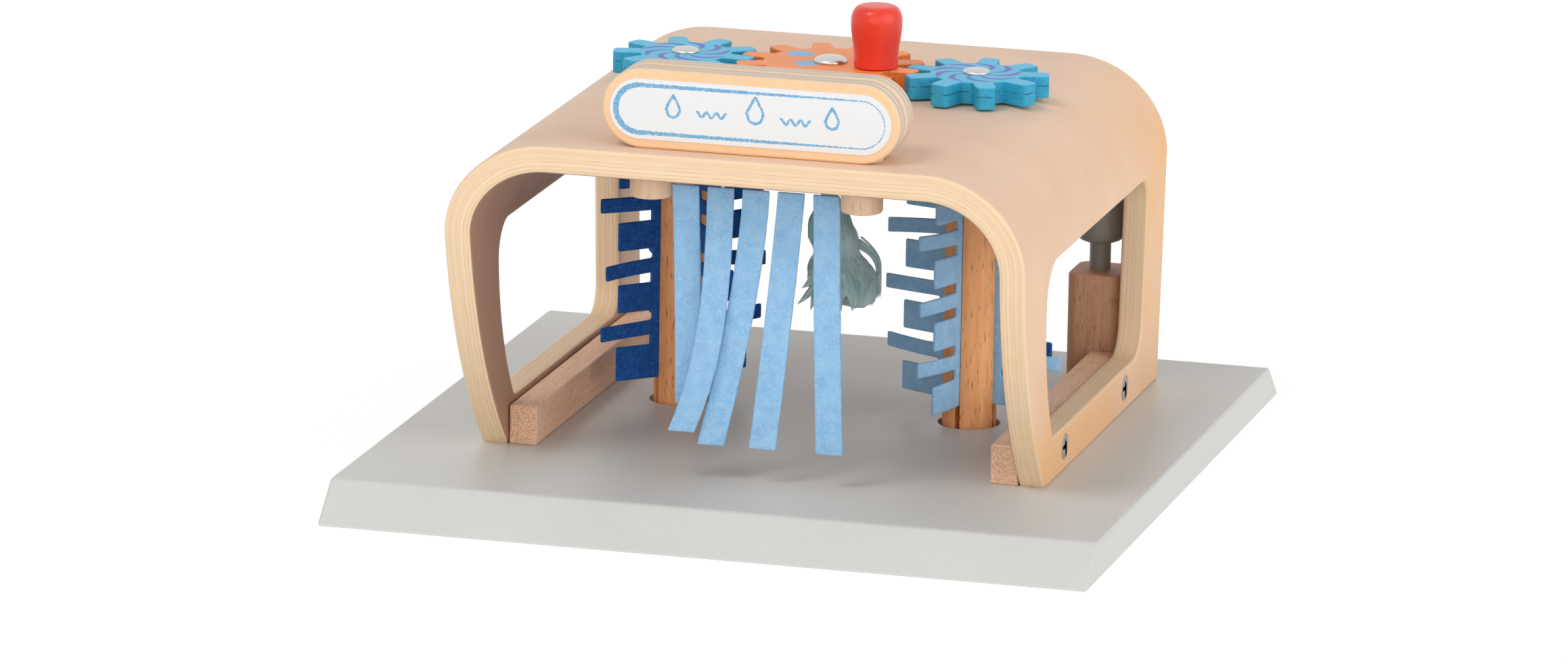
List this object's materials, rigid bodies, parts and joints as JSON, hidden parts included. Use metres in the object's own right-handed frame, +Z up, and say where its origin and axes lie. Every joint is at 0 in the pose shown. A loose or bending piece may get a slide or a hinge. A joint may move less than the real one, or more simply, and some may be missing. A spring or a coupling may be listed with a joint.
{
  "type": "toy car wash playset",
  "caption": "Wooden toy drive-through on a ramped board: a bent plywood arch with a felt curtain, geared brush rollers and a yarn mop that a crank knob on the roof turns.",
  "frame": {"origin": "middle of the board's underside", "axes": "+X across the lane to the right as seen from the entrance, +Y back through the lane, +Z up"},
  "size_m": [0.3, 0.325, 0.1787],
  "materials": {
    "grey_lacquer": "satin grey lacquer",
    "plywood": "clear satin over beech veneer",
    "beech": "clear satin",
    "roller_beech": "clear satin, orange-brown",
    "dowel_wood": "bare, sanded",
    "orange_wood": "orange paint",
    "blue_wood": "blue paint",
    "red_lacquer": "glossy red lacquer",
    "nickel": "polished nickel plate",
    "dark_plastic": "satin",
    "washer_plastic": "matt",
    "label_card": "matt printed",
    "pale_felt": "pale blue felt",
    "dark_felt": "dark blue felt",
    "yarn": "grey-green yarn"
  },
  "bodies": {
    "root": {"base_plate": "grey_lacquer", "roof_arch": "plywood", "rail_left": "beech", "rail_right": "beech", "side_screw_front_left": "nickel", "side_screw_rear_left": "nickel", "side_screw_front_right": "nickel", "side_screw_rear_right": "nickel", "base_screw_1": "nickel", "base_screw_2": "nickel", "base_screw_3": "nickel", "base_screw_4": "nickel", "block_screw": "nickel", "batten_screw_1": "nickel", "batten_screw_2": "nickel", "rear_block": "beech", "rear_post": "dark_plastic", "rear_bell": "dark_plastic", "left_washer": "washer_plastic", "right_washer": "washer_plastic", "crank_washer": "washer_plastic", "sign_front_board": "plywood", "sign_back_board": "plywood", "sign_label": "label_card", "sign_peg_left": "dowel_wood", "sign_peg_right": "dowel_wood", "curtain_batten": "dowel_wood", "curtain_header": "pale_felt"},
    "crank": {"crank_gear": "orange_wood", "crank_dome": "nickel", "crank_axle": "dowel_wood", "crank_collar": "dowel_wood", "knob_pin": "dowel_wood", "tassel": "yarn"},
    "knob": {"crank_knob": "red_lacquer"},
    "left_brush": {"left_roller": "roller_beech", "left_gear": "blue_wood", "left_cap": "nickel", "left_flag_1": "dark_felt", "left_flag_2": "dark_felt", "left_flag_3": "dark_felt", "left_flag_4": "dark_felt"},
    "right_brush": {"right_roller": "roller_beech", "right_gear": "blue_wood", "right_cap": "nickel", "right_flag_1": "pale_felt", "right_flag_2": "pale_felt", "right_flag_3": "dark_felt", "right_flag_4": "pale_felt"},
    "strip_1": {"curtain_strip_1": "pale_felt"},
    "strip_2": {"curtain_strip_2": "pale_felt"},
    "strip_3": {"curtain_strip_3": "pale_felt"},
    "strip_4": {"curtain_strip_4": "pale_felt"},
    "strip_5": {"curtain_strip_5": "pale_felt"}
  },
  "joints": [
    {"name": "crank_spin", "type": "hinge", "parent": "root", "child": "crank", "pos_m": [0, 0.0188, 0.1497], "axis": [0, 0, 1], "continuous": true},
    {"name": "knob_spin", "type": "hinge", "parent": "crank", "child": "knob", "pos_m": [0.01916, 0.01518, 0.16655], "axis": [0, 0, 1], "continuous": true},
    {"name": "left_brush_spin", "type": "hinge", "parent": "root", "child": "left_brush", "pos_m": [-0.05838, 0.0188, 0.1497], "axis": [0, 0, 1], "continuous": true},
    {"name": "right_brush_spin", "type": "hinge", "parent": "root", "child": "right_brush", "pos_m": [0.05838, 0.0188, 0.1497], "axis": [0, 0, 1], "continuous": true},
    {"name": "strip_1_swing", "type": "hinge", "parent": "root", "child": "strip_1", "pos_m": [-0.0236, -0.1024, 0.1293], "axis": [1, 0, 0], "range_deg": [-50, 50]},
    {"name": "strip_2_swing", "type": "hinge", "parent": "root", "child": "strip_2", "pos_m": [-0.0098, -0.1024, 0.1293], "axis": [1, 0, 0], "range_deg": [-50, 50]},
    {"name": "strip_3_swing", "type": "hinge", "parent": "root", "child": "strip_3", "pos_m": [0.004, -0.1024, 0.1293], "axis": [1, 0, 0], "range_deg": [-50, 50]},
    {"name": "strip_4_swing", "type": "hinge", "parent": "root", "child": "strip_4", "pos_m": [0.0178, -0.1024, 0.1293], "axis": [1, 0, 0], "range_deg": [-50, 50]},
    {"name": "strip_5_swing", "type": "hinge", "parent": "root", "child": "strip_5", "pos_m": [0.0316, -0.1024, 0.1293], "axis": [1, 0, 0], "range_deg": [-50, 50]}
  ],
  "couplings": [
    {"joint": "left_brush_spin", "follows": "crank_spin", "ratio": -1.3333},
    {"joint": "right_brush_spin", "follows": "crank_spin", "ratio": -1.3333},
    {"joint": "strip_2_swing", "follows": "strip_1_swing", "ratio": 1}
  ]
}
